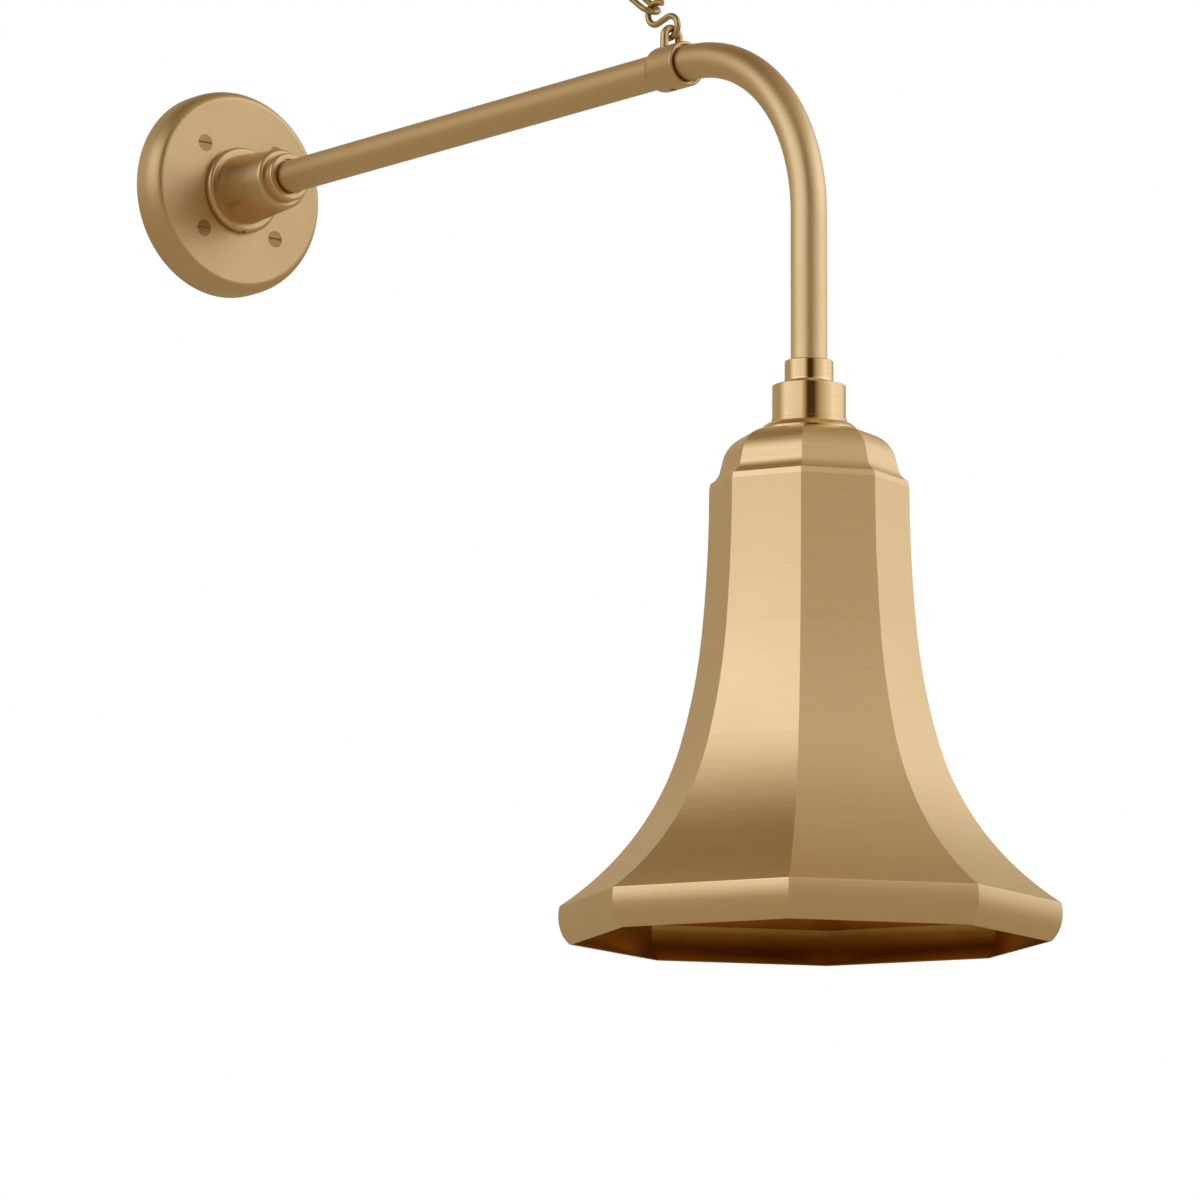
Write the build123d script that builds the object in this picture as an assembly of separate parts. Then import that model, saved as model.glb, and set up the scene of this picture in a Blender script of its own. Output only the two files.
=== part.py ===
"""Wall lamp: a brass arm on a round wall plate, a chain stay and a hanging eight-sided bell shade.

Millimetres. The origin is the centre of the wall plate's back, on the wall. The wall is the plane
y = 0 with the room on its -Y side, +Z is up. The arm leaves the wall along -Y and bends down.
"out" is a distance from the wall, "drop" is a distance below the arm's axis.
"""

from build123d import *

import os
from copy import copy
from math import asin, cos, degrees, radians, sin, tan

# ---- driving dimensions -------------------------------------------------------------------
reach = 558.0  # wall to the shade's axis
tube_r = 10.0
tube_wall = 1.5
bend_r = 104.0  # on the tube's centre line
fit = 0.05  # radial play of a shaft or thread in its hole
seat_gap = 0.3  # play left between loose pieces that only hang in each other
hook_link_gap = 0.9  # and between the S-hook and the chain's first link
screw_head_rim = 0.4  # straight edge of a countersunk head

# wall plate
plate_r = 63.5
plate_depth = 19.8
plate_face_r = 57.0
plate_straight_rim = 8.0
plate_wall = 2.0
plate_screw_circle_r = 37.7
plate_screw_count = 4
plate_screw_r = 2.4
plate_screw_head_r = 5.0
plate_screw_sink = 0.1  # head below the plate's face
plate_screw_wall_gap = 0.8  # from the screw's point to the wall
plate_screw_depth = 8.0  # of the screw holes, from the plate's face
plate_boss_wall = 1.5
plate_boss_height = 3.0

# backing plate between the wall plate and the wall
backing_r = 55.0
backing_thick = 3.0
backing_wire_hole_r = 18.0
backing_boss_wall = 2.0
backing_boss_height = 4.0
box_screw_spacing = 88.9
box_slot_r = 2.3
box_slot_length = 16.0

# hub that the arm stands in
hub_bead_r = 26.6
hub_bead_thick = 5.4
hub_bead_land = 0.6
hub_boss_back_r = 21.5
hub_boss_front_r = 18.5
hub_boss_length = 40.2
hub_boss_round = 2.4
hub_ring_wall = 4.8
hub_ring_length = 7.2
hub_ring_round = 1.6
hub_mouth_play = 1.1  # shadow gap round the tube
hub_mouth_depth = 2.5
arm_end_out = 7.0  # wall end of the tube, behind the plate
arm_nut_flats = 27.0
arm_nut_thick = 5.0
arm_washer_r = 16.0
arm_washer_thick = 1.5
grub_r = 2.0
grub_socket_r = 1.0

# collar on the arm that the chain pulls on
collar_out = 440.5
collar_wall = 2.95
collar_length = 25.0
collar_shoulder = 5.0  # length of the rounding towards the wall
collar_foot_wall = 0.4  # left at its thin end
collar_mouth_play = 1.2
collar_mouth_depth = 3.0
eye_out = 438.8
eye_wire_r = 2.3
eye_bow_r = 5.3
eye_top = 22.7  # centre line of the wire above the arm's axis
eye_leg_spread = 0.3  # how much further apart the legs are at their foot

# S-hook of bent wire in the collar's eye, drawn out along the chain's pull
hook_wire_r = 1.8
hook_loop_r = 6.35
hook_spacing = 14.5  # between the centres of its two loops
hook_lean = 42.0  # slope of the line through those centres
hook_turn = 6.0  # its plane, turned from the arm's
hook_end_angle = 78.0  # where a loop's bend runs out into its tip
hook_low_tip = 4.0
hook_high_tip = 3.5

# chain stay
chain_wire_r = 1.7
chain_link_half_width = 5.4
chain_link_pairs = 6  # pairs, so that the first link lies level and the last one stands upright
chain_slope = 36.5
chain_roll = -4.0  # first link's plane, turned from level

# rosette on the wall with the chain's upper eye
rosette_r = 22.0
rosette_thick = 6.0
rosette_face_r = 19.0
rosette_straight_rim = 2.0
rosette_screw_circle_r = 14.5
rosette_screw_r = 2.0  # over its thread
rosette_screw_neck_r = 1.5
rosette_screw_head_r = 4.0
rosette_screw_length = 20.0
rosette_eye_out = 13.0  # centre of the eye's bow
rosette_eye_bow_r = 6.9
rosette_eye_wire_r = 1.9

# stack below the arm's lower end
ferrule_drop = 186.3
ferrule_wall = 3.3
ferrule_length = 13.7
ferrule_foot_spread = 1.2
ferrule_foot = 3.4
ferrule_foot_rim = 0.8
ferrule_cove_r = 3.2
ferrule_chamfer = 0.5
nipple_in_tube = 5.0  # how far the nipple stands above the ferrule's seat
nipple_in_cap = 1.5  # and below the holder's cap
tube_seat = 9.7  # how deep the tube stands in the ferrule
nipple_r = 5.0
nipple_bore_r = 3.2
nipple_nut_flats = 14.0
nipple_nut_thick = 4.0
cup_play = 1.7  # round the lampholder's cap
cup_wall = 1.2
cup_height = 19.2
cup_edge = 0.8
flange_spread = 6.5  # how much wider than the cup its foot is
flange_height = 7.0
flange_flare_r = 9.0
flange_shelf = 0.5  # shows round the cup's foot
flange_lip = 1.3
flange_seat = 1.6
flange_foot_wall = 1.4
flange_hole_play = 0.4  # round the lampholder

# eight-sided shade, measured across its flats
shade_sides = 8
shade_wall = 1.2
shade_hole_play = 0.5  # round the lampholder
shade_top_inset = 1.1  # of the top's flat from the flange's rim
shade_dome_r = 18.5
shade_dome_half = 43.9
shade_dome_height = 16.0
shade_waist_half = 44.9
shade_waist_height = 20.0
shade_shoulder_half = 49.8
shade_shoulder_height = 27.2
shoulder_lead = 0.12  # outward lean of the cove where it leaves the waist
shade_neck_half = 50.45
shade_neck_height = 30.5
shade_crease_half = 125.2
shade_crease_height = 257.7
bell_upper_r = 885.0
bell_upper_turn = 5.2
bell_middle_r = 358.0
bell_middle_turn = 9.9
band_height = 20.9
band_bulge = 0.55
band_bulge_place = 0.38  # share of the band's height
band_roll_height = 6.0
band_half = 124.1
mouth_half = 120.0

# lampholder inside the cup and the shade's neck
holder_r = 15.9
holder_length = 45.0
holder_floor = 15.5
holder_cap_play = 0.2
holder_cap_wall = 1.1
holder_cap_height = 11.0
holder_cap_gap = 0.5
shell_wall = 0.55
shell_bore_r = 13.35
shade_ring_width = 5.6
shade_ring_thick = 6.0
shade_ring_notches = 6
contact_half_width = 3.0
contact_thick = 0.5
contact_rise = 1.6
terminal_r = 2.4
terminal_out = 10.5

# lamp
lamp_cap_r = 13.1
lamp_cap_length = 25.0
lamp_cap_wall = 0.4
lamp_insulator_height = 2.6
lamp_tip_r = 4.6
lamp_tip_rise = 0.6
lamp_length = 110.0
lamp_glass_r = 30.0
lamp_glass_wall = 0.9
lamp_neck_r = 13.9

# ---- places worked out from the driving dimensions ----------------------------------------
hub_front_out = plate_depth + hub_bead_thick + hub_boss_length + hub_ring_length
cup_drop = ferrule_drop + ferrule_length
flange_drop = cup_drop + cup_height
shade_drop = flange_drop + flange_height
crease_drop = shade_drop + shade_crease_height
mouth_drop = crease_drop + band_height
tube_end_drop = ferrule_drop + tube_seat
nipple_nut_drop = cup_drop + cup_wall
holder_cap_drop = nipple_nut_drop + nipple_nut_thick + holder_cap_gap
holder_drop = holder_cap_drop + holder_cap_wall + terminal_r
holder_end_drop = holder_drop + holder_length
holder_floor_drop = holder_drop + holder_floor
holder_bore_r = shell_bore_r + shell_wall + fit
lamp_tip_drop = holder_floor_drop + contact_rise + fit
lamp_end_drop = lamp_tip_drop + lamp_length
shade_ring_drop = shade_drop + shade_wall
shade_hole_r = holder_r + shade_hole_play
hub_ring_r = tube_r + hub_ring_wall
hub_mouth_r = tube_r + hub_mouth_play
collar_r = tube_r + collar_wall
collar_mouth_r = tube_r + collar_mouth_play
ferrule_r = tube_r + ferrule_wall
ferrule_foot_r = ferrule_r + ferrule_foot_spread
holder_cap_r = holder_r + holder_cap_play + holder_cap_wall
cup_r = holder_cap_r + cup_play + cup_wall
flange_r = cup_r + flange_spread
shade_top_half = flange_r - shade_top_inset
shade_ring_r = holder_r + shade_ring_width
chain_link_count = 2 * chain_link_pairs
ON_ARM = Rot(X=90)  # turns a piece made along +Z to point out from the wall
AT_SHADE = Pos(0, -reach, 0)  # the shade's upright axis


# ---- small helpers ------------------------------------------------------------------------
def turned(*edges):
    """Solid of revolution about Z from edges drawn in the XZ plane, (radius, height)."""
    return revolve(Plane.XZ * make_face(Curve() + list(edges)), Axis.Z)


def path(*points):
    """Closed straight-sided outline."""
    return Polyline(*points, close=True)


def tube_between(outer, inner, low, high):
    """Plain ring about Z."""
    ring = Pos(0, 0, low) * Cylinder(outer, high - low, align=(Align.CENTER, Align.CENTER, Align.MIN))
    if inner > 0:
        ring -= Pos(0, 0, low) * Cylinder(inner, high - low, align=(Align.CENTER, Align.CENTER, Align.MIN))
    return ring


def hexagon(flats, low, high, bore):
    """Nut about Z."""
    nut = Pos(0, 0, low) * extrude(RegularPolygon(flats / 2, 6, major_radius=False), high - low)
    return nut - tube_between(bore, 0, low - 1, high + 1)


def wire_along(line, radius):
    """Round wire along a tangent-continuous line."""
    start = Plane(origin=line @ 0, z_dir=line % 0)
    return sweep(start * Circle(radius), path=line)


def countersunk_screw(head_r, shank_r, length, slot_width=1.3, slot_depth=1.1, neck_r=None, neck_end=0.0):
    """Slotted screw, head flush at z = 0, shank down to -length. The slot lies along X.

    A wood screw has a thinner neck between its head and the depth neck_end, where its thread starts.
    """
    under_head = shank_r if neck_r is None else neck_r
    cone = head_r - under_head
    outline = [(0, 0), (head_r, 0), (head_r, -screw_head_rim), (under_head, -screw_head_rim - cone)]
    if neck_r is not None:
        outline += [(neck_r, -neck_end), (shank_r, -neck_end)]
    outline += [(shank_r, -length + 1), (0, -length)]
    screw = turned(path(*outline))
    return screw - Pos(0, 0, -slot_depth / 2 + 0.05) * Box(2 * head_r + 1, slot_width, slot_depth + 0.1)


def countersunk_hole(head_r, shank_r, depth):
    """Space of that screw with its play, to cut from a plate whose face is at z = 0."""
    cone = head_r - shank_r
    return turned(
        path(
            (0, 1),
            (head_r + fit, 1),
            (head_r + fit, -screw_head_rim - fit),
            (shank_r + fit, -screw_head_rim - fit - cone),
            (shank_r + fit, -depth),
            (0, -depth),
        )
    )


def grub_screw(inner, outer):
    """Headless screw lying on the underside of a round part, from radius inner to radius outer."""
    screw = tube_between(grub_r, 0, inner, outer)
    screw -= Pos(0, 0, outer - 1.5) * extrude(RegularPolygon(grub_socket_r, 6, major_radius=False), 2)
    return Rot(X=180) * screw


def save(solid, name):
    """Write one piece to its own file and report its size."""
    solid.label = name
    export_step(solid, f"parts/{name}.step")
    print(name, len(solid.solids()), "solid(s)", round(solid.volume, 1), "mm3")


# ---- wall plate group ---------------------------------------------------------------------
def plate_profile(rim_r, face_r, depth, straight):
    """Outline of a domed disc: straight rim, rounded shoulder, flat face."""
    shoulder = EllipticalCenterArc(
        (face_r, straight), rim_r - face_r, depth - straight, start_angle=0, arc_size=90
    )
    return [
        Line((0, 0), (rim_r, 0)),
        Line((rim_r, 0), (rim_r, straight)),
        shoulder,
        Line((face_r, depth), (0, depth)),
        Line((0, depth), (0, 0)),
    ]


def plate_screw_places():
    step = 360 / plate_screw_count
    return [Rot(Z=step * (turn + 0.5)) * Pos(plate_screw_circle_r, 0, 0) for turn in range(plate_screw_count)]


def make_wall_plate():
    plate = turned(*plate_profile(plate_r, plate_face_r, plate_depth, plate_straight_rim))
    plate -= turned(
        *plate_profile(
            plate_r - plate_wall,
            plate_face_r - plate_wall * 0.6,
            plate_depth - plate_wall,
            plate_straight_rim,
        )
    )
    plate -= tube_between(tube_r + fit, 0, 0, plate_depth + 1)
    for place in plate_screw_places():
        plate += place * tube_between(
            plate_screw_head_r + plate_boss_wall,
            0,
            plate_depth - plate_wall - plate_boss_height,
            plate_depth - plate_wall / 2,
        )
    hole = countersunk_hole(plate_screw_head_r, plate_screw_r, plate_screw_depth)
    for place in plate_screw_places():
        plate -= place * Pos(0, 0, plate_depth - plate_screw_sink) * hole
    return ON_ARM * plate


def make_plate_screws():
    head = plate_depth - plate_screw_sink
    length = head - plate_screw_wall_gap
    screw = Pos(0, 0, head) * countersunk_screw(plate_screw_head_r, plate_screw_r, length)
    group = [Pos(place.position.X, place.position.Y, 0) * screw for place in plate_screw_places()]
    return ON_ARM * Compound(children=group)


def make_backing_plate():
    plate = tube_between(backing_r, backing_wire_hole_r, 0, backing_thick)
    for place in plate_screw_places():
        plate += place * tube_between(
            plate_screw_r + backing_boss_wall, 0, backing_thick / 2, backing_thick + backing_boss_height
        )
    for place in plate_screw_places():
        plate -= place * tube_between(plate_screw_r + fit, 0, -1, backing_thick + backing_boss_height + 1)
    slot = SlotOverall(box_slot_length, 2 * box_slot_r)
    for side in (-1, 1):
        plate -= Pos(side * box_screw_spacing / 2, 0, -1) * extrude(slot, backing_thick + 2)
    return ON_ARM * plate


# ---- hub and arm --------------------------------------------------------------------------
def make_arm_hub():
    back = plate_depth
    bead_front = back + hub_bead_thick
    boss_front = bead_front + hub_boss_length
    bead_round = (hub_bead_thick - hub_bead_land) / 2
    bead_flat_r = hub_bead_r - bead_round
    boss_flat_r = hub_boss_front_r - hub_boss_round
    ring_flat_r = hub_ring_r - hub_ring_round
    mouth = hub_front_out - hub_mouth_depth
    bore = tube_r + fit
    hub = turned(
        Line((bore, back), (bead_flat_r, back)),
        RadiusArc((bead_flat_r, back), (hub_bead_r, back + bead_round), -bead_round),
        Line((hub_bead_r, back + bead_round), (hub_bead_r, bead_front - bead_round)),
        RadiusArc((hub_bead_r, bead_front - bead_round), (bead_flat_r, bead_front), -bead_round),
        Line((bead_flat_r, bead_front), (hub_boss_back_r, bead_front)),
        Line((hub_boss_back_r, bead_front), (hub_boss_front_r, boss_front - hub_boss_round)),
        RadiusArc((hub_boss_front_r, boss_front - hub_boss_round), (boss_flat_r, boss_front), -hub_boss_round),
        Line((boss_flat_r, boss_front), (hub_ring_r, boss_front)),
        Line((hub_ring_r, boss_front), (hub_ring_r, hub_front_out - hub_ring_round)),
        RadiusArc((hub_ring_r, hub_front_out - hub_ring_round), (ring_flat_r, hub_front_out), -hub_ring_round),
        Line((ring_flat_r, hub_front_out), (hub_mouth_r, hub_front_out)),
        Line((hub_mouth_r, hub_front_out), (hub_mouth_r, mouth)),
        Line((hub_mouth_r, mouth), (bore, mouth)),
        Line((bore, mouth), (bore, back)),
    )
    hub = ON_ARM * hub
    hub -= Pos(0, -hub_grub_out(), 0) * Rot(X=180) * tube_between(grub_r + fit, 0, tube_r - 1, hub_bead_r + 1)
    return hub


def hub_grub_out():
    return plate_depth + hub_bead_thick / 2


def make_hub_grub_screw():
    return Pos(0, -hub_grub_out(), 0) * grub_screw(tube_r + fit, hub_bead_r - 1.2)


def arm_centre_line():
    bend_start = Vector(0, -(reach - bend_r), 0)
    bend_end = Vector(0, -reach, -bend_r)
    bend_middle = Vector(0, -(reach - bend_r) - bend_r * sin(radians(45)), -bend_r * (1 - cos(radians(45))))
    run = Line((0, -arm_end_out, 0), bend_start)
    bend = ThreePointArc(bend_start, bend_middle, bend_end)
    fall = Line(bend_end, (0, -reach, -tube_end_drop))
    return Wire([run.edge(), bend.edge(), fall.edge()])


def make_arm_tube():
    line = arm_centre_line()
    section = Circle(tube_r) - Circle(tube_r - tube_wall)
    return sweep(Plane(origin=line @ 0, z_dir=line % 0) * section, path=line)


def arm_nut_out():
    return plate_depth - plate_wall - arm_washer_thick - arm_nut_thick


def make_arm_washer():
    low = arm_nut_out() + arm_nut_thick
    return ON_ARM * tube_between(arm_washer_r, tube_r + fit, low, low + arm_washer_thick)


def make_arm_nut():
    return ON_ARM * hexagon(arm_nut_flats, arm_nut_out(), arm_nut_out() + arm_nut_thick, tube_r + fit)


# ---- collar, S-hook, chain, rosette -------------------------------------------------------
def make_eye(bow_r, wire_r, spread, foot):
    """Eye of bent wire in the XZ plane: a half ring above z = 0 on two legs that run down to -foot."""
    bow = ThreePointArc((-bow_r, 0, 0), (0, 0, bow_r), (bow_r, 0, 0))
    eye = wire_along(bow, wire_r)
    for side in (-1, 1):
        top = (side * bow_r, 0, 0)
        eye += Pos(*top) * Sphere(wire_r)
        eye += wire_along(Line(top, (side * (bow_r + spread), 0, -foot)), wire_r)
    return eye


def make_chain_collar():
    low = collar_out - collar_length / 2
    high = collar_out + collar_length / 2
    mouth = high - collar_mouth_depth
    round_over = 1.2
    bore = tube_r + fit
    foot_r = bore + collar_foot_wall
    shoulder = EllipticalCenterArc(
        (foot_r, low + collar_shoulder), collar_r - foot_r, collar_shoulder, start_angle=270, arc_size=90
    )
    collar = turned(
        Line((bore, low), (foot_r, low)),
        shoulder,
        Line((collar_r, low + collar_shoulder), (collar_r, high - round_over)),
        RadiusArc((collar_r, high - round_over), (collar_r - round_over, high), -round_over),
        Line((collar_r - round_over, high), (collar_mouth_r, high)),
        Line((collar_mouth_r, high), (collar_mouth_r, mouth)),
        Line((collar_mouth_r, mouth), (bore, mouth)),
        Line((bore, mouth), (bore, low)),
    )
    foot = eye_top - eye_bow_r - tube_r / 2
    collar = ON_ARM * collar
    collar += Pos(0, -eye_out, eye_top - eye_bow_r) * make_eye(eye_bow_r, eye_wire_r, eye_leg_spread, foot)
    collar -= ON_ARM * tube_between(bore, 0, low, high)
    grub_hole = tube_between(grub_r + fit, 0, tube_r - 1, collar_r + 1)
    return collar - Pos(0, -collar_out, 0) * Rot(X=180) * grub_hole


def make_collar_grub_screw():
    return Pos(0, -collar_out, 0) * grub_screw(tube_r + fit, collar_r - 0.5)


def on_ring(centre, radius, angle):
    return (centre[0] + radius * cos(radians(angle)), centre[1] + radius * sin(radians(angle)))


# The hook stands upright. Its own frame has X away from the wall and Y up, and its origin in the middle of
# the bar that it hangs on.
HOOK_PLANE = Plane(
    origin=(0, -eye_out, eye_top),
    x_dir=(sin(radians(hook_turn)), -cos(radians(hook_turn)), 0),
    z_dir=(-cos(radians(hook_turn)), -sin(radians(hook_turn)), 0),
)


def hook_centres():
    """Centres of the lower loop, pulled against the eye's bar, and of the upper loop."""
    low = on_ring((0, 0), hook_loop_r - hook_wire_r - seat_gap - eye_wire_r, 180 - chain_slope)
    return low, on_ring(low, hook_spacing, 180 - hook_lean)


def loop_bend(centre, start, end):
    """Bend of the hook about a centre, from the angle start to the angle end, either way round."""
    return ThreePointArc(*(on_ring(centre, hook_loop_r, angle) for angle in (start, (start + end) / 2, end)))


def make_s_hook():
    low, high = hook_centres()
    cross = degrees(asin(2 * hook_loop_r / hook_spacing)) - hook_lean  # slope of the wire between the loops
    low_tip = on_ring(low, hook_loop_r, hook_end_angle - 180)
    high_tip = on_ring(high, hook_loop_r, hook_end_angle)
    runs = [
        Line(on_ring(low_tip, hook_low_tip, hook_end_angle + 90), low_tip),
        loop_bend(low, hook_end_angle - 180, cross + 90),
        Line(on_ring(low, hook_loop_r, cross + 90), on_ring(high, hook_loop_r, cross - 90)),
        loop_bend(high, cross - 90, hook_end_angle - 360),
        Line(high_tip, on_ring(high_tip, hook_high_tip, hook_end_angle - 90)),
    ]
    return wire_along(HOOK_PLANE * Wire([run.edge() for run in runs]), hook_wire_r)


def chain_ends():
    """Wire centres that the taut chain pulls between: on the S-hook and on the rosette's eye."""
    on_hook = on_ring(hook_centres()[1], hook_loop_r, 180 - chain_slope)
    lower = HOOK_PLANE.from_local_coords(Vector(*on_hook, 0))
    upper_out = rosette_eye_out + rosette_eye_bow_r
    rise = (-lower.Y - upper_out) * tan(radians(chain_slope))
    return lower, Vector(0, -upper_out, lower.Z + rise)


def link_length():
    """Centre-line length of a link, so that the links fill the stay with the play between them."""
    lower, upper = chain_ends()
    joint = 2 * chain_wire_r + seat_gap
    ends = (hook_wire_r + chain_wire_r + hook_link_gap) + (rosette_eye_wire_r + chain_wire_r + seat_gap)
    run = (upper - lower).length + ends
    return (run + (chain_link_count - 1) * joint) / chain_link_count


def make_link(length):
    """One link about the origin: long way along X, flat in the XY plane."""
    half = length / 2 - chain_link_half_width
    width = chain_link_half_width
    bow_right = ThreePointArc((half, -width), (half + width, 0), (half, width))
    bow_left = ThreePointArc((-half, width), (-half - width, 0), (-half, -width))
    top = Line((half, width), (-half, width))
    bottom = Line((-half, -width), (half, -width))
    loop = Wire([bow_right.edge(), top.edge(), bow_left.edge(), bottom.edge()])
    return wire_along(loop, chain_wire_r)


def make_chain_links():
    """Links from the S-hook up to the rosette, each a quarter turn from the one before."""
    lower, upper = chain_ends()
    along = (upper - lower).normalized()
    length = link_length()
    pitch = length - 2 * chain_wire_r - seat_gap
    first = lower - along * (hook_wire_r + chain_wire_r + hook_link_gap) + along * (length / 2)
    upright = Vector(1, 0, 0).cross(along)
    links = []
    for number in range(chain_link_count):
        roll = chain_roll * (1 - number / (chain_link_count - 1)) + 90 * (number % 2)
        normal = upright.rotate(Axis((0, 0, 0), along), roll)
        frame = Plane(origin=first + along * (number * pitch), x_dir=along, z_dir=normal)
        links.append(frame.location * make_link(length))
    return links


def rosette_screw_places():
    return [Pos(side * rosette_screw_circle_r, 0, 0) for side in (-1, 1)]


def make_chain_rosette():
    rosette = turned(*plate_profile(rosette_r, rosette_face_r, rosette_thick, rosette_straight_rim))
    hole = countersunk_hole(rosette_screw_head_r, rosette_screw_r, rosette_thick + 1)
    for place in rosette_screw_places():
        rosette -= place * Pos(0, 0, rosette_thick) * hole
    foot = rosette_eye_out - rosette_thick / 2
    rosette += Pos(0, 0, rosette_eye_out) * make_eye(rosette_eye_bow_r, rosette_eye_wire_r, 0, foot)
    return Pos(0, 0, chain_ends()[1].Z) * ON_ARM * rosette


def make_rosette_screws():
    group = [
        place * Pos(0, 0, rosette_thick)
        * countersunk_screw(
            rosette_screw_head_r,
            rosette_screw_r,
            rosette_screw_length,
            slot_width=1.0,
            slot_depth=0.9,
            neck_r=rosette_screw_neck_r,
            neck_end=rosette_thick,
        )
        for place in rosette_screw_places()
    ]
    return Pos(0, 0, chain_ends()[1].Z) * ON_ARM * Compound(children=group)


# ---- fittings between the arm and the shade -------------------------------------------------
def make_arm_ferrule():
    top = -ferrule_drop
    bottom = -cup_drop
    cove = bottom + ferrule_foot
    ferrule = turned(
        Line((0, top), (ferrule_r - ferrule_chamfer, top)),
        Line((ferrule_r - ferrule_chamfer, top), (ferrule_r, top - ferrule_chamfer)),
        Line((ferrule_r, top - ferrule_chamfer), (ferrule_r, cove)),
        RadiusArc((ferrule_r, cove), (ferrule_foot_r, bottom + ferrule_foot_rim), -ferrule_cove_r),
        Line((ferrule_foot_r, bottom + ferrule_foot_rim), (ferrule_foot_r, bottom)),
        Line((ferrule_foot_r, bottom), (0, bottom)),
        Line((0, bottom), (0, top)),
    )
    ferrule -= tube_between(tube_r + fit, 0, -tube_end_drop, top + 1)
    return AT_SHADE * (ferrule - tube_between(nipple_r + fit, 0, bottom - 1, top))


def make_nipple():
    low = -(holder_cap_drop + holder_cap_wall + nipple_in_cap)
    high = -(tube_end_drop - nipple_in_tube)
    return AT_SHADE * tube_between(nipple_r, nipple_bore_r, low, high)


def make_nipple_nut():
    low = -(nipple_nut_drop + nipple_nut_thick)
    return AT_SHADE * hexagon(nipple_nut_flats, low, -nipple_nut_drop, nipple_r + fit)


def make_socket_cup():
    top = -cup_drop
    bottom = -flange_drop
    cup = turned(
        Line((nipple_r + fit, top), (cup_r - cup_edge, top)),
        RadiusArc((cup_r - cup_edge, top), (cup_r, top - cup_edge), cup_edge),
        Line((cup_r, top - cup_edge), (cup_r, bottom)),
        Line((cup_r, bottom), (cup_r - cup_wall, bottom)),
        Line((cup_r - cup_wall, bottom), (cup_r - cup_wall, top - cup_wall)),
        Line((cup_r - cup_wall, top - cup_wall), (nipple_r + fit, top - cup_wall)),
        Line((nipple_r + fit, top - cup_wall), (nipple_r + fit, top)),
    )
    return AT_SHADE * cup


def make_shade_flange():
    top = -flange_drop
    bottom = -shade_drop
    seat_r = cup_r + flange_shelf
    inner = holder_r + flange_hole_play
    flare_top = top - flange_seat
    lip_top = bottom + flange_lip
    flange = turned(
        Line((inner, top), (seat_r, top)),
        Line((seat_r, top), (seat_r, flare_top)),
        RadiusArc((seat_r, flare_top), (flange_r, lip_top), flange_flare_r),
        Line((flange_r, lip_top), (flange_r, bottom)),
        Line((flange_r, bottom), (flange_r - flange_foot_wall, bottom)),
        Line((flange_r - flange_foot_wall, bottom), (seat_r - flange_foot_wall, top - flange_foot_wall)),
        Line((seat_r - flange_foot_wall, top - flange_foot_wall), (inner, top - flange_foot_wall)),
        Line((inner, top - flange_foot_wall), (inner, top)),
    )
    return AT_SHADE * flange


# ---- shade ----------------------------------------------------------------------------------
def shade_skin():
    """Right half of the shade's outer skin across two flats, from the axis at its top to its mouth."""
    top = (shade_top_half, -shade_drop)
    dome = (shade_dome_half, -shade_drop - shade_dome_height)
    waist = (shade_waist_half, -shade_drop - shade_waist_height)
    shoulder = (shade_shoulder_half, -shade_drop - shade_shoulder_height)
    neck = (shade_neck_half, -shade_drop - shade_neck_height)
    crease = (shade_crease_half, -crease_drop)
    dome_arc = RadiusArc(top, dome, shade_dome_r)
    cove = TangentArc(waist, shoulder, tangent=(shoulder_lead, -1))
    upper = JernArc(neck, tangent=(0, -1), radius=bell_upper_r, arc_size=bell_upper_turn)
    middle = JernArc(upper @ 1, tangent=upper % 1, radius=bell_middle_r, arc_size=bell_middle_turn)
    flare = TangentArc(middle @ 1, crease, tangent=middle % 1)
    roll = (band_half, -(mouth_drop - band_roll_height))
    bulge = (shade_crease_half + band_bulge, -(crease_drop + band_bulge_place * band_height))
    band = ThreePointArc(crease, bulge, roll)
    lip = TangentArc(roll, (mouth_half, -mouth_drop), tangent=band % 1)
    skin = [
        Line((0, -shade_drop), top),
        dome_arc,
        Line(dome, waist),
        cove,
        Line(shoulder, neck),
        upper,
        middle,
        flare,
        band,
        lip,
    ]
    return Wire([stretch.edge() for stretch in skin])


def closed_to_axis(skin, low):
    """Face between the axis and a half skin, closed straight down to the height low."""
    start = skin @ 0
    end = skin @ 1
    sides = [Line(end, (end.X, low)), Line((end.X, low), (0, low)), Line((0, low), start)]
    return make_face(Curve() + skin.edges() + sides)


def shade_panel():
    """One of the shade's formed sheets, facing +X, mitred to the sheets beside it."""
    below_mouth = -mouth_drop - shade_wall
    outer = shade_skin()
    inner = outer.offset_2d(shade_wall, kind=Kind.INTERSECTION, side=Side.RIGHT, closed=False)
    section = closed_to_axis(outer, below_mouth) - closed_to_axis(inner, below_mouth)
    reach_out = 2 * shade_crease_half
    half_width = reach_out * tan(radians(180 / shade_sides))
    wedge = extrude(Polygon((0, 0), (reach_out, -half_width), (reach_out, half_width), align=None), mouth_drop)
    panel = extrude(Plane.XZ * section, amount=half_width, both=True)
    panel &= Pos(0, 0, -mouth_drop) * wedge
    return panel - tube_between(shade_hole_r, 0, -(shade_drop + 5), -shade_drop + 1)


def make_shade():
    """Eight formed sheets that meet edge to edge, with a corner of the shade straight out of the wall."""
    panel = shade_panel()
    turns = [90 + 360 / shade_sides * (side + 0.5) for side in range(shade_sides)]
    return AT_SHADE * Compound(children=[Rot(Z=turn) * copy(panel) for turn in turns])


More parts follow.
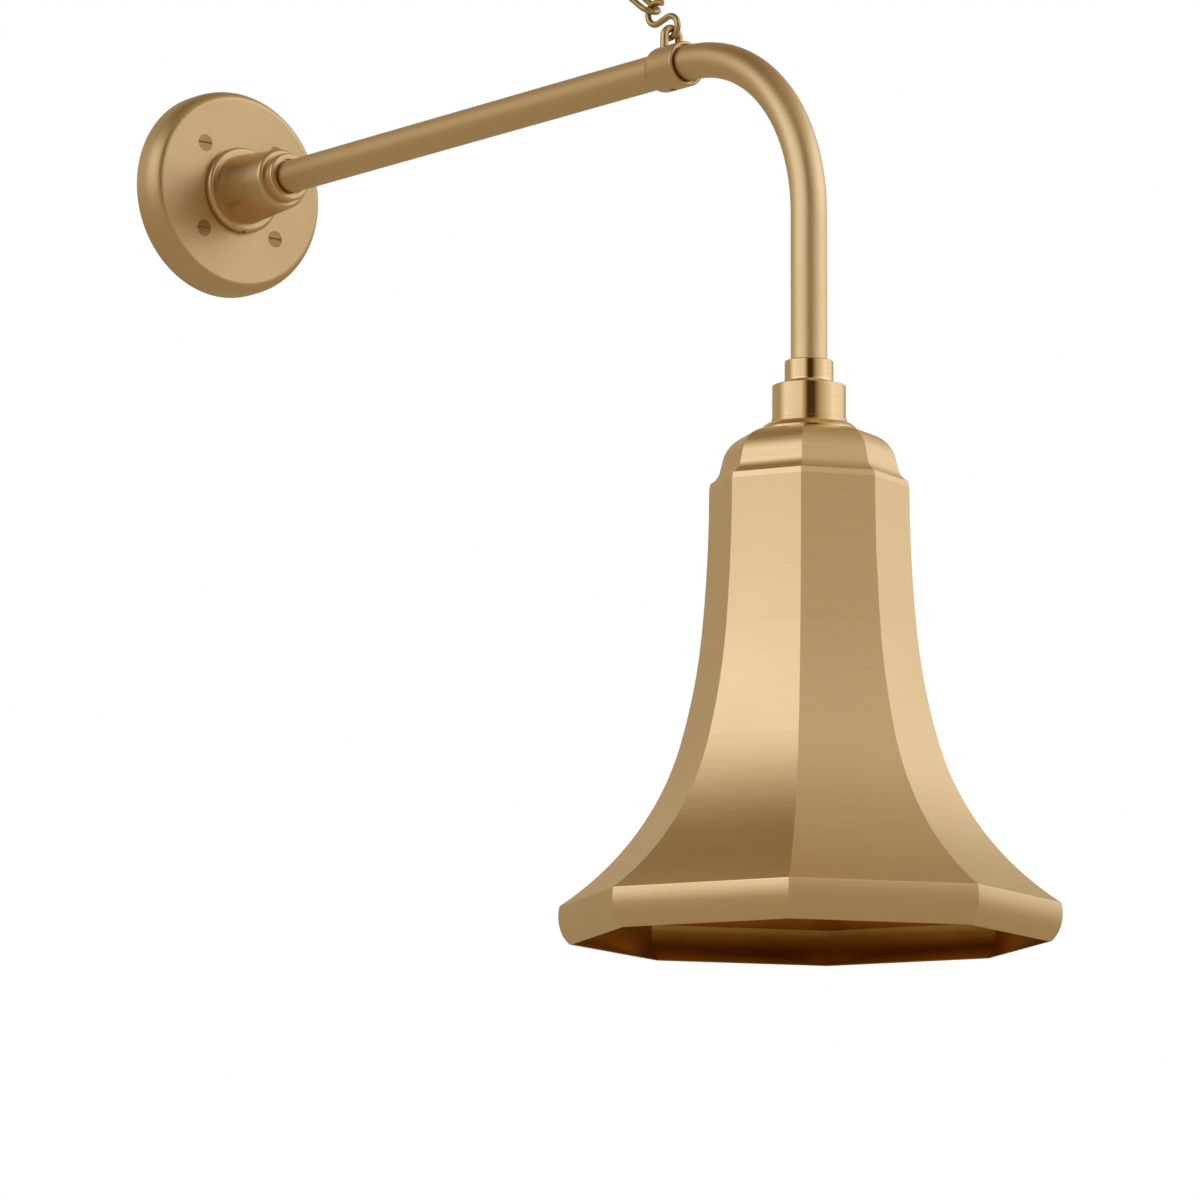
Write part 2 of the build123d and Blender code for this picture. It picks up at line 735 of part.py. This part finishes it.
# ---- lampholder -----------------------------------------------------------------------------
def make_holder_cap():
    top = -holder_cap_drop
    bottom = top - holder_cap_height
    inner = holder_cap_r - holder_cap_wall
    round_over = 2.5
    cap = turned(
        Line((nipple_r + fit, top), (holder_cap_r - round_over, top)),
        RadiusArc((holder_cap_r - round_over, top), (holder_cap_r, top - round_over), round_over),
        Line((holder_cap_r, top - round_over), (holder_cap_r, bottom)),
        Line((holder_cap_r, bottom), (inner, bottom)),
        Line((inner, bottom), (inner, top - round_over)),
        Line((inner, top - round_over), (inner - round_over + holder_cap_wall, top - holder_cap_wall)),
        Line(
            (inner - round_over + holder_cap_wall, top - holder_cap_wall),
            (nipple_r + fit, top - holder_cap_wall),
        ),
        Line((nipple_r + fit, top - holder_cap_wall), (nipple_r + fit, top)),
    )
    return AT_SHADE * cap


def make_holder_body():
    body = tube_between(holder_r, 0, -holder_end_drop, -holder_drop)
    body -= tube_between(holder_bore_r, 0, -holder_end_drop - 1, -holder_floor_drop)
    body -= Pos(0, 0, -holder_floor_drop) * Box(
        2 * contact_half_width + 2 * fit, 6, 20, align=(Align.CENTER, Align.CENTER, Align.MIN)
    )
    for side in (-1, 1):
        body -= Pos(0, side * terminal_out, 0) * tube_between(
            terminal_r * 0.6 + fit, 0, -holder_drop - 6, -holder_drop + 1
        )
    return AT_SHADE * body


def make_screw_shell():
    outer = shell_bore_r + shell_wall
    low = -holder_end_drop + 0.8
    return AT_SHADE * tube_between(outer, shell_bore_r, low, -holder_floor_drop)


def make_centre_contact():
    """Spring tongue: a foot in the floor's slot, and a strip that rises to the lamp's tip."""
    floor = -holder_floor_drop
    width = 2 * contact_half_width
    strip = Polyline(
        (-2.6, floor + 3),
        (-2.6, floor - contact_thick),
        (-1.2, floor - contact_rise),
        (2.4, floor - contact_rise),
        (2.4, floor - contact_rise + contact_thick),
        (-0.9, floor - contact_rise + contact_thick),
        (-2.1, floor),
        (-2.1, floor + 3),
        close=True,
    )
    face = make_face(Plane.YZ * strip)
    return AT_SHADE * extrude(face, amount=width / 2, both=True)


def make_terminal_screws():
    group = []
    for side in (-1, 1):
        head = tube_between(terminal_r, 0, -holder_drop, -holder_drop + 1.8)
        head += tube_between(terminal_r * 0.6, 0, -holder_drop - 5, -holder_drop + 0.5)
        head -= Pos(0, 0, -holder_drop + 1.8) * Box(2 * terminal_r + 1, 0.8, 1.6)
        group.append(Pos(0, side * terminal_out, 0) * head)
    return AT_SHADE * Compound(children=group)


def make_shade_ring():
    low = -(shade_ring_drop + shade_ring_thick)
    ring = tube_between(shade_ring_r, holder_r + fit, low, -shade_ring_drop)
    ring -= tube_between(shade_ring_r + 1, shade_ring_r - 2.2, low - 1, low + shade_ring_thick / 2)
    for turn in range(shade_ring_notches):
        notch = Pos(shade_ring_r, 0, low + shade_ring_thick / 2) * Cylinder(1.6, 2 * shade_ring_thick)
        ring -= Rot(Z=360 / shade_ring_notches * turn) * notch
    return AT_SHADE * ring


# ---- lamp -----------------------------------------------------------------------------------
def make_lamp_cap():
    top = -(lamp_tip_drop + lamp_insulator_height)
    bottom = top - lamp_cap_length
    inner = lamp_cap_r - lamp_cap_wall
    cap = turned(
        Line((lamp_tip_r + 3, top), (lamp_cap_r - 2, top)),
        Line((lamp_cap_r - 2, top), (lamp_cap_r, top - 2)),
        Line((lamp_cap_r, top - 2), (lamp_cap_r, bottom)),
        Line((lamp_cap_r, bottom), (inner, bottom)),
        Line((inner, bottom), (inner, top - 2)),
        Line((inner, top - 2), (inner - 1.8, top - lamp_cap_wall)),
        Line((inner - 1.8, top - lamp_cap_wall), (lamp_tip_r + 3, top - lamp_cap_wall)),
        Line((lamp_tip_r + 3, top - lamp_cap_wall), (lamp_tip_r + 3, top)),
    )
    return AT_SHADE * cap


def make_lamp_insulator():
    top = -(lamp_tip_drop + lamp_tip_rise)
    bottom = -(lamp_tip_drop + lamp_insulator_height)
    return AT_SHADE * turned(
        path((0, top), (lamp_tip_r + 0.8, top), (lamp_cap_r - 2.4, bottom), (0, bottom))
    )


def make_lamp_tip():
    top = -lamp_tip_drop
    low = top - lamp_tip_rise
    dome_r = (lamp_tip_r**2 + lamp_tip_rise**2) / (2 * lamp_tip_rise)
    dome = Pos(0, 0, top - dome_r) * Sphere(dome_r)
    return AT_SHADE * (dome & tube_between(lamp_tip_r, 0, low, top + 1))


def lamp_glass_outline(shrink):
    """Half outline of the bulb, from the neck inside the cap to the bottom of the ball."""
    ball_r = lamp_glass_r - shrink
    ball_centre = -(lamp_end_drop - lamp_glass_r)
    neck_top = -(lamp_tip_drop + lamp_insulator_height + lamp_cap_length - 6)
    neck_bottom = -(lamp_tip_drop + lamp_insulator_height + lamp_cap_length)
    neck_r = lamp_cap_r - lamp_cap_wall - fit - shrink
    throat_r = lamp_neck_r - shrink
    throat = neck_bottom - 7
    blend_angle = 38
    touch = (ball_r * cos(radians(blend_angle)), ball_centre + ball_r * sin(radians(blend_angle)))
    return [
        Line((neck_r, neck_top), (neck_r, neck_bottom)),
        Line((neck_r, neck_bottom), (throat_r, neck_bottom - 1.5)),
        Line((throat_r, neck_bottom - 1.5), (throat_r, throat)),
        TangentArc((throat_r, throat), touch, tangent=(0.12, -1)),
        CenterArc((0, ball_centre), ball_r, -90, 90 + blend_angle),
    ]


def make_lamp_glass():
    outer = lamp_glass_outline(0)
    inner = lamp_glass_outline(lamp_glass_wall)
    rim = Line(outer[0] @ 0, inner[0] @ 0)
    foot = Line((0, -lamp_end_drop), (0, -lamp_end_drop + lamp_glass_wall))
    return AT_SHADE * turned(*outer, *inner, rim, foot)


# ---- write the pieces -------------------------------------------------------------------------
def main():
    os.makedirs("parts", exist_ok=True)
    pieces = {
        "wall_plate": make_wall_plate,
        "plate_screws": make_plate_screws,
        "backing_plate": make_backing_plate,
        "arm_hub": make_arm_hub,
        "hub_grub_screw": make_hub_grub_screw,
        "arm_tube": make_arm_tube,
        "arm_washer": make_arm_washer,
        "arm_nut": make_arm_nut,
        "chain_collar": make_chain_collar,
        "collar_grub_screw": make_collar_grub_screw,
        "s_hook": make_s_hook,
        "chain_rosette": make_chain_rosette,
        "rosette_screws": make_rosette_screws,
        "arm_ferrule": make_arm_ferrule,
        "nipple": make_nipple,
        "nipple_nut": make_nipple_nut,
        "socket_cup": make_socket_cup,
        "shade_flange": make_shade_flange,
        "shade": make_shade,
        "shade_ring": make_shade_ring,
        "holder_cap": make_holder_cap,
        "holder_body": make_holder_body,
        "terminal_screws": make_terminal_screws,
        "screw_shell": make_screw_shell,
        "centre_contact": make_centre_contact,
        "lamp_cap": make_lamp_cap,
        "lamp_insulator": make_lamp_insulator,
        "lamp_tip": make_lamp_tip,
        "lamp_glass": make_lamp_glass,
    }
    for name, make in pieces.items():
        save(make(), name)
    for number, link in enumerate(make_chain_links(), start=1):
        save(link, f"chain_link_{number:02d}")
    lower, upper = chain_ends()
    print("chain from", lower, "to", upper, "link length", round(link_length(), 2))
    print("shade mouth drop", round(mouth_drop, 2))


main()
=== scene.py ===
"""Looks of the brass wall lamp: its finishes, the studio and the camera."""

from math import radians

import bpy
from mathutils import Matrix, Vector


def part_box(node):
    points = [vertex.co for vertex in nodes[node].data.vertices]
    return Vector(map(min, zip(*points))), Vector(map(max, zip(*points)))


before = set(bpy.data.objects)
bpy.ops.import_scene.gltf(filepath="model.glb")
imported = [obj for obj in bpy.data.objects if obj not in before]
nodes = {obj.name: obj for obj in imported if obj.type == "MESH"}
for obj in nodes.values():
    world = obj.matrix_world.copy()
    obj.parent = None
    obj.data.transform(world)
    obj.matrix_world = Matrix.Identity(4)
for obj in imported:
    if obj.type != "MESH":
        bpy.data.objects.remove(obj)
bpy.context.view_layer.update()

bell_low, bell_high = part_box("shade")

# ---- camera: below the shade, to the left of the lamp --------------------------------------
CAMERA_PLACE = (-2.2247, -3.1616, -0.8468)
CAMERA_TURN = 38.614  # degrees of the line of sight from +Y towards +X
CAMERA_TILT = 8.774  # above level
CAMERA_ROLL = 0.248  # about the line of sight
CAMERA_LENS = 191.5
CAMERA_SENSOR = 36.0
CAMERA_REACH = 100.0


def make_camera():
    sight = Vector((0, 1, 0))
    sight.rotate(Matrix.Rotation(radians(CAMERA_TILT), 3, "X"))
    sight.rotate(Matrix.Rotation(radians(-CAMERA_TURN), 3, "Z"))
    level = Vector((sight.y, -sight.x, 0)).normalized()
    upward = level.cross(sight)
    level.rotate(Matrix.Rotation(radians(-CAMERA_ROLL), 3, sight))
    upward.rotate(Matrix.Rotation(radians(-CAMERA_ROLL), 3, sight))
    camera = bpy.data.objects.new("camera", bpy.data.cameras.new("camera"))
    bpy.context.scene.collection.objects.link(camera)
    camera.data.lens = CAMERA_LENS
    camera.data.sensor_width = CAMERA_SENSOR
    camera.data.clip_end = CAMERA_REACH
    turn = Matrix((level, upward, -sight)).transposed()
    camera.matrix_world = Matrix.Translation(CAMERA_PLACE) @ turn.to_4x4()
    bpy.context.scene.camera = camera


# ---- shader nodes ---------------------------------------------------------------------------
# spans of a noise's values, from its middle ones to nearly all of them
MIDDLE_NOISE = (0.35, 0.65)
MOST_NOISE = (0.3, 0.7)
ALL_NOISE = (0.25, 0.75)

EDGE_RADIUS = 0.0003


def add(tree, kind, inputs=(), **settings):
    """One node. An input is a value, or the output socket that feeds it."""
    made = tree.nodes.new(kind)
    for name, value in settings.items():
        setattr(made, name, value)
    for key, value in dict(inputs).items():
        feed(tree, value, made.inputs[key])
    return made


def feed(tree, value, socket):
    if isinstance(value, bpy.types.NodeSocket):
        tree.links.new(value, socket)
    else:
        socket.default_value = value


def maths(tree, operation, *values):
    return add(tree, "ShaderNodeMath", enumerate(values), operation=operation).outputs[0]


def ramp(tree, value, low, high, to_low=0.0, to_high=1.0, smooth=False):
    """Value, taken from low..high to to_low..to_high and kept inside them."""
    kind = "SMOOTHSTEP" if smooth else "LINEAR"
    span = {"Value": value, "From Min": low, "From Max": high, "To Min": to_low, "To Max": to_high}
    return add(tree, "ShaderNodeMapRange", span, interpolation_type=kind).outputs[0]


def mixed(tree, factor, first, second, blend="MIX"):
    made = add(tree, "ShaderNodeMix", data_type="RGBA", blend_type=blend)
    factor_socket, first_socket, second_socket = made.inputs[0], made.inputs[6], made.inputs[7]
    feed(tree, factor, factor_socket)
    feed(tree, first, first_socket)
    feed(tree, second, second_socket)
    return made.outputs[2]


def grain(tree, place, cells, detail, rough=0.6):
    """Noise with its cells per metre along each axis."""
    moved = add(tree, "ShaderNodeMapping", {"Vector": place, "Scale": cells}).outputs[0]
    settings = {"Vector": moved, "Scale": 1.0, "Detail": detail, "Roughness": rough}
    return add(tree, "ShaderNodeTexNoise", settings).outputs[0]


def bumped(tree, height, depth):
    """Normal of a surface with a relief of that depth, and with its edges broken by a small radius."""
    broken = add(tree, "ShaderNodeBevel", {"Radius": EDGE_RADIUS}, samples=4).outputs[0]
    relief = {"Strength": 1.0, "Distance": depth, "Height": height, "Normal": broken}
    return add(tree, "ShaderNodeBump", relief).outputs[0]


def new_finish(name):
    finish = bpy.data.materials.new(name)
    finish.use_nodes = True
    tree = finish.node_tree
    tree.nodes.clear()
    shader = add(tree, "ShaderNodeBsdfPrincipled")
    out = add(tree, "ShaderNodeOutputMaterial")
    tree.links.new(shader.outputs[0], out.inputs[0])
    return finish, tree, shader


def give(finish, *names):
    for name in names:
        node = nodes[name]
        node.data.materials.clear()
        node.data.materials.append(finish)


# ---- metal ----------------------------------------------------------------------------------
PALE_BRASS = (0.95, 0.715, 0.425, 1)
DEEP_BRASS = (0.84, 0.59, 0.31, 1)
# a duller brass: the own tone of the plate, hub, collar and rosette, and the painted shade on the shade's
# band and along the arm
DULL_BRASS_AND_PAINTED_SHADE = (0.77, 0.56, 0.315, 1)
TARNISH = (0.42, 0.24, 0.09, 1)
# painted shade inside the bell: the darker, browner tones given to faces that look into it
PAINTED_INSIDE_SHADE = ((0.44, 0.22, 0.04, 1), (0.66, 0.39, 0.11, 1))
SPECKS = (900, 900, 900)  # of tarnish, in cells per metre
SPECKS_SHOW = (0.62, 0.8)  # noise at which a speck starts and at which it is full
STREAKS = (0.95, 1.05)  # how the grain darkens and lightens the metal
GRAIN_SPREAD = 0.15  # share of its roughness that the metal gains and loses along the grain
CLOUD_SPREAD = 0.03  # roughness that clouds add and take away

BAND_HEIGHT = 0.0203  # of the shade's band, from the mouth up to its skirt
BAND_EDGE = 0.0005
BELL_MIDDLE_HEIGHT = 0.0548  # above the mouth
ARM_PAINTED_SHADE_HEIGHTS = (-0.10, -0.01)  # heights from which the arm tube goes from the painted highlight of its drop to the painted shade of its arm, and at which it is all painted shade

band_top = bell_low.z + BAND_HEIGHT
bell_middle = (bell_low + bell_high) / 2
bell_middle.z = bell_low.z + BELL_MIDDLE_HEIGHT


def faces_inwards(tree, place):
    """1 on faces that look towards the middle of the bell, 0 on those that look away from it."""
    normal = add(tree, "ShaderNodeNewGeometry").outputs["True Normal"]
    out = add(tree, "ShaderNodeVectorMath", {0: place, 1: bell_middle}, operation="SUBTRACT").outputs[0]
    along = add(tree, "ShaderNodeVectorMath", {0: out, 1: normal}, operation="DOT_PRODUCT").outputs["Value"]
    return maths(tree, "LESS_THAN", along, 0.0)


def metal(name, tones, roughness, lines, depth, cloud=18.0, tarnish=0.25, shade_painted_inside=False, painted_shade_from=None,
          painted_shade_strength=1.0):
    """Metal with a drawn-out grain: lines are its cells per metre along X, Y and Z.

    Its patches of deeper tone have cloud cells per metre. If asked, faces that look into the bell get
    painted shade, a darker and browner tone. Where two heights are given, a duller tone is painted in as
    shade from the first height to the second.
    """
    finish, tree, shader = new_finish(name)
    place = add(tree, "ShaderNodeTexCoord").outputs["Object"]
    drawn = grain(tree, place, lines, detail=4.0, rough=0.7)
    clouds = grain(tree, place, (cloud,) * 3, detail=5.0, rough=0.55)
    specks = grain(tree, place, SPECKS, detail=2.0)
    tone = mixed(tree, ramp(tree, clouds, *MOST_NOISE), *tones)
    tarnished = maths(tree, "MULTIPLY", ramp(tree, specks, *SPECKS_SHOW), tarnish)
    tone = mixed(tree, tarnished, tone, TARNISH)
    streaks = ramp(tree, drawn, *MOST_NOISE, *STREAKS)
    grey = add(tree, "ShaderNodeCombineColor", {channel: streaks for channel in range(3)}).outputs[0]
    tone = mixed(tree, 1.0, tone, grey, blend="MULTIPLY")
    # painted shade: between the two heights the tone gives way to the duller brass
    if painted_shade_from:
        height = add(tree, "ShaderNodeSeparateXYZ", {0: place}).outputs[2]
        tone = mixed(tree, ramp(tree, height, *painted_shade_from, to_high=painted_shade_strength), tone, DULL_BRASS_AND_PAINTED_SHADE)
    # painted shade: faces that look into the bell take a darker, browner tone
    if shade_painted_inside:
        inside = mixed(tree, ramp(tree, clouds, *MIDDLE_NOISE), *PAINTED_INSIDE_SHADE)
        tone = mixed(tree, faces_inwards(tree, place), tone, inside)
    smoothest = roughness * (1 - GRAIN_SPREAD)
    roughest = roughness * (1 + GRAIN_SPREAD)
    along_grain = ramp(tree, drawn, *ALL_NOISE, smoothest, roughest)
    in_clouds = ramp(tree, clouds, *MOST_NOISE, -CLOUD_SPREAD, CLOUD_SPREAD)
    feed(tree, 1.0, shader.inputs["Metallic"])
    feed(tree, tone, shader.inputs["Base Color"])
    feed(tree, maths(tree, "ADD", along_grain, in_clouds), shader.inputs["Roughness"])
    feed(tree, bumped(tree, drawn, depth), shader.inputs["Normal"])
    return finish


BRASS = (PALE_BRASS, tuple(0.8 * pale + 0.2 * deep for pale, deep in zip(PALE_BRASS, DEEP_BRASS)))
DULL = (DULL_BRASS_AND_PAINTED_SHADE, tuple(0.92 * value for value in DULL_BRASS_AND_PAINTED_SHADE[:3]) + (1,))
# painted highlight: the brighter tones of the arm tube's drop
PAINTED_HIGHLIGHT_BRASS = ((1.0, 0.79, 0.50, 1), (0.98, 0.76, 0.47, 1))
CHAIN = ((0.64, 0.47, 0.24, 1), (0.52, 0.37, 0.17, 1))
DARK = ((0.46, 0.31, 0.15, 1), (0.38, 0.24, 0.10, 1))
STEEL = ((0.62, 0.62, 0.60, 1), (0.48, 0.48, 0.47, 1))

chain_links = sorted(name for name in nodes if name.startswith("chain_link"))

# the shade: painted shade inside the bell, and painted shade on its band below the skirt
shade_brass = metal("shade brass", BRASS, 0.34, (26, 26, 1500), 0.000015, cloud=9, shade_painted_inside=True,
                    painted_shade_from=(band_top + BAND_EDGE, band_top - BAND_EDGE), painted_shade_strength=0.7)
give(shade_brass, "shade", "shade_ring")

# the arm tube: a painted highlight on its drop, giving way to painted shade along its arm
arm_brass = metal("arm brass", PAINTED_HIGHLIGHT_BRASS, 0.42, (700, 700, 700), 0.000004, painted_shade_from=ARM_PAINTED_SHADE_HEIGHTS)
give(arm_brass, "arm_tube")

plate_brass = metal("plate brass", DULL, 0.42, (30, 30, 1300), 0.000010)
give(plate_brass, "wall_plate")

hub_brass = metal("hub brass", DULL, 0.33, (30, 1500, 30), 0.000004)
give(hub_brass, "arm_hub", "chain_collar", "chain_rosette")

polished_brass = metal("polished brass", BRASS, 0.09, (60, 60, 1800), 0.000003)
give(polished_brass, "arm_ferrule", "socket_cup", "shade_flange")

chain_brass = metal("chain brass", CHAIN, 0.27, (500, 500, 500), 0.000010, tarnish=0.6)
give(chain_brass, "s_hook", *chain_links)

screw_brass = metal("screw brass", DARK, 0.36, (1200, 300, 300), 0.000010, tarnish=0.6)
give(screw_brass, "plate_screws", "rosette_screws", "hub_grub_screw", "collar_grub_screw",
     "terminal_screws")

plated_steel = metal("zinc plated steel", STEEL, 0.32, (60, 60, 60), 0.000020, cloud=90)
give(plated_steel, "backing_plate", "arm_nut", "arm_washer", "nipple", "nipple_nut")

cap_metal = metal("lamp cap metal", STEEL, 0.25, (60, 60, 1500), 0.000004)
give(cap_metal, "lamp_cap", "lamp_tip")

holder_brass = metal("holder brass", BRASS, 0.30, (60, 60, 900), 0.000006)
give(holder_brass, "screw_shell", "centre_contact")

# ---- glazed china, black glass and opal glass --------------------------------------------------
CHINA = ((0.80, 0.78, 0.72, 1), (0.74, 0.72, 0.66, 1))
BLACK = ((0.012, 0.012, 0.012, 1), (0.02, 0.02, 0.02, 1))
OPAL = ((0.86, 0.85, 0.82, 1), (0.83, 0.82, 0.79, 1))
GLAZE_SPREAD = 0.2  # share of its roughness that a glaze gains and loses in its clouds


def plain(name, tones, roughness, cloud, depth, coat=0.0):
    """A glossy finish that isn't metal, faintly clouded: cloud is its cells per metre."""
    finish, tree, shader = new_finish(name)
    place = add(tree, "ShaderNodeTexCoord").outputs["Object"]
    clouds = grain(tree, place, (cloud,) * 3, detail=4.0)
    smoothest = roughness * (1 - GLAZE_SPREAD)
    roughest = roughness * (1 + GLAZE_SPREAD)
    feed(tree, coat, shader.inputs["Coat Weight"])
    feed(tree, mixed(tree, ramp(tree, clouds, *MIDDLE_NOISE), *tones), shader.inputs["Base Color"])
    feed(tree, ramp(tree, clouds, *MOST_NOISE, smoothest, roughest), shader.inputs["Roughness"])
    feed(tree, bumped(tree, clouds, depth), shader.inputs["Normal"])
    return finish


give(plain("glazed china", CHINA, 0.18, 120, 0.00002, coat=0.5), "holder_cap", "holder_body")
give(plain("black glass", BLACK, 0.12, 200, 0.00001), "lamp_insulator")
give(plain("opal glass", OPAL, 0.22, 30, 0.000005, coat=0.3), "lamp_glass")


# ---- studio ---------------------------------------------------------------------------------
# what metal shows of the studio, by the compass round the lamp: degrees from straight out of the wall
# towards the left, with how white it is there, at the lamp's height and overhead
WALLS = (
    (-180, 0.4), (-115, 0.4),  # dim wall behind
    (-85, 0.9), (-40, 1.0),  # wide soft light on the right
    (5, 0.45),
    (25, 0.02), (45, 0.02),  # narrow dark strip in front
    (65, 0.8), (120, 0.95),  # wide soft light on the left
    (145, 0.4), (180, 0.4),
)
OVERHEAD = ((-180, 0.2), (-60, 0.4), (0, 0.4), (90, 0.2), (180, 0.2))
UNDERFOOT = (0.4, 0.4, 0.4, 1)

# heights of the line of sight, 0 level and 1 straight up, between which one part gives way to the next
FLOOR_TO_WALLS = (-0.09, 0.21)
WALLS_BRIGHTEN = (0.22, 0.46)
WALLS_TO_CEILING = (0.55, 0.88)
BRIGHTENED = 1.2

WARMTH = (1.0, 1.18, 1.6)  # powers for red, green and blue, so darker parts of the studio are warmer
WHITE = (1, 1, 1, 1)
FILL_LIGHT = (0.55, 0.55, 0.55, 1)

FLOOR_HEIGHT = -1.75
FLOOR_SIZE = 40
FLOOR_GREY = (0.80, 0.80, 0.80, 1)
FLOOR_GLOW = (0.25, 0.57)  # near the lamp and far from it
GLOW_RISES = (1.5, 7.0)  # metres along the floor from under the wall plate, between which the glow grows

LAMP_AIM = (0, -0.4, -0.2)
LAMPS = (  # name, place, size in metres and power in watts
    ("left light", (-3.2, -1.2, 1.2), 2.4, 90),
    ("right light", (2.8, -2.4, 1.0), 2.0, 55),
    ("top light", (0, -1.2, 3.2), 2.4, 70),
)


def by_compass(tree, bearing, stops_at):
    curve = add(tree, "ShaderNodeValToRGB", {0: ramp(tree, bearing, radians(-180), radians(180))})
    stops = curve.color_ramp.elements
    for index, (degrees_left, white) in enumerate(stops_at):
        stop = stops[index] if index < 2 else stops.new(1.0)
        stop.position = (degrees_left + 180) / 360
        stop.color = (white, white, white, 1)
    return curve.outputs[0]


def seen(tree, path):
    """1 for what the camera sees, also in metal or through glass, and 0 for light that falls on things."""
    bent = maths(tree, "MAXIMUM", path["Is Glossy Ray"], path["Is Transmission Ray"])
    return maths(tree, "MAXIMUM", path["Is Camera Ray"], bent)


def make_world():
    world = bpy.data.worlds.new("studio")
    bpy.context.scene.world = world
    world.use_nodes = True
    tree = world.node_tree
    tree.nodes.clear()
    path = add(tree, "ShaderNodeLightPath").outputs
    way = add(tree, "ShaderNodeTexCoord").outputs["Generated"]
    right, back, height = add(tree, "ShaderNodeSeparateXYZ", {0: way}).outputs
    left = maths(tree, "MULTIPLY", right, -1.0)
    front = maths(tree, "MULTIPLY", back, -1.0)
    bearing = maths(tree, "ARCTAN2", left, front)
    brighter = ramp(tree, height, *WALLS_BRIGHTEN, 1.0, BRIGHTENED)
    around = maths(tree, "MULTIPLY", by_compass(tree, bearing, WALLS), brighter)
    above = mixed(tree, ramp(tree, height, *WALLS_TO_CEILING), around, by_compass(tree, bearing, OVERHEAD))
    white = mixed(tree, ramp(tree, height, *FLOOR_TO_WALLS), UNDERFOOT, above)
    tones = {channel: maths(tree, "POWER", white, power) for channel, power in enumerate(WARMTH)}
    studio = add(tree, "ShaderNodeCombineColor", tones).outputs[0]
    shown = mixed(tree, path["Is Glossy Ray"], WHITE, studio)
    colour = mixed(tree, seen(tree, path), FILL_LIGHT, shown)
    background = add(tree, "ShaderNodeBackground", {"Color": colour, "Strength": 1.0})
    out = add(tree, "ShaderNodeOutputWorld")
    tree.links.new(background.outputs[0], out.inputs[0])


def make_lamp(name, place, size, power):
    lamp = bpy.data.objects.new(name, bpy.data.lights.new(name, "AREA"))
    lamp.data.shape = "SQUARE"
    lamp.data.size = size
    lamp.data.energy = power
    lamp.location = place
    lamp.rotation_euler = (Vector(LAMP_AIM) - Vector(place)).to_track_quat("-Z", "Y").to_euler()
    lamp.visible_glossy = False
    bpy.context.scene.collection.objects.link(lamp)


def make_floor():
    """A pale floor that glows a little more with distance, so that it runs out into the background."""
    bpy.ops.mesh.primitive_plane_add(size=FLOOR_SIZE, location=(0, 0, FLOOR_HEIGHT))
    floor = bpy.context.object
    floor.name = "floor"
    floor.visible_glossy = False
    finish = bpy.data.materials.new("pale floor")
    finish.use_nodes = True
    tree = finish.node_tree
    tree.nodes.clear()
    path = add(tree, "ShaderNodeLightPath").outputs
    matt = add(tree, "ShaderNodeBsdfDiffuse", {"Color": FLOOR_GREY}).outputs[0]
    place = add(tree, "ShaderNodeTexCoord").outputs["Object"]
    away = add(tree, "ShaderNodeVectorMath", {0: place}, operation="LENGTH").outputs["Value"]
    lift = ramp(tree, away, *GLOW_RISES, *FLOOR_GLOW, smooth=True)
    glow = add(tree, "ShaderNodeEmission", {"Color": WHITE, "Strength": lift}).outputs[0]
    lifted = add(tree, "ShaderNodeAddShader", {0: matt, 1: glow}).outputs[0]
    face = add(tree, "ShaderNodeMixShader", {0: seen(tree, path), 1: matt, 2: lifted}).outputs[0]
    clear = add(tree, "ShaderNodeBsdfTransparent").outputs[0]
    below = add(tree, "ShaderNodeNewGeometry").outputs["Backfacing"]
    one_sided = add(tree, "ShaderNodeMixShader", {0: below, 1: face, 2: clear}).outputs[0]
    out = add(tree, "ShaderNodeOutputMaterial")
    tree.links.new(one_sided, out.inputs[0])
    floor.data.materials.append(finish)


make_camera()
make_world()
make_floor()
for lamp in LAMPS:
    make_lamp(*lamp)
bpy.context.scene.view_settings.view_transform = "Standard"
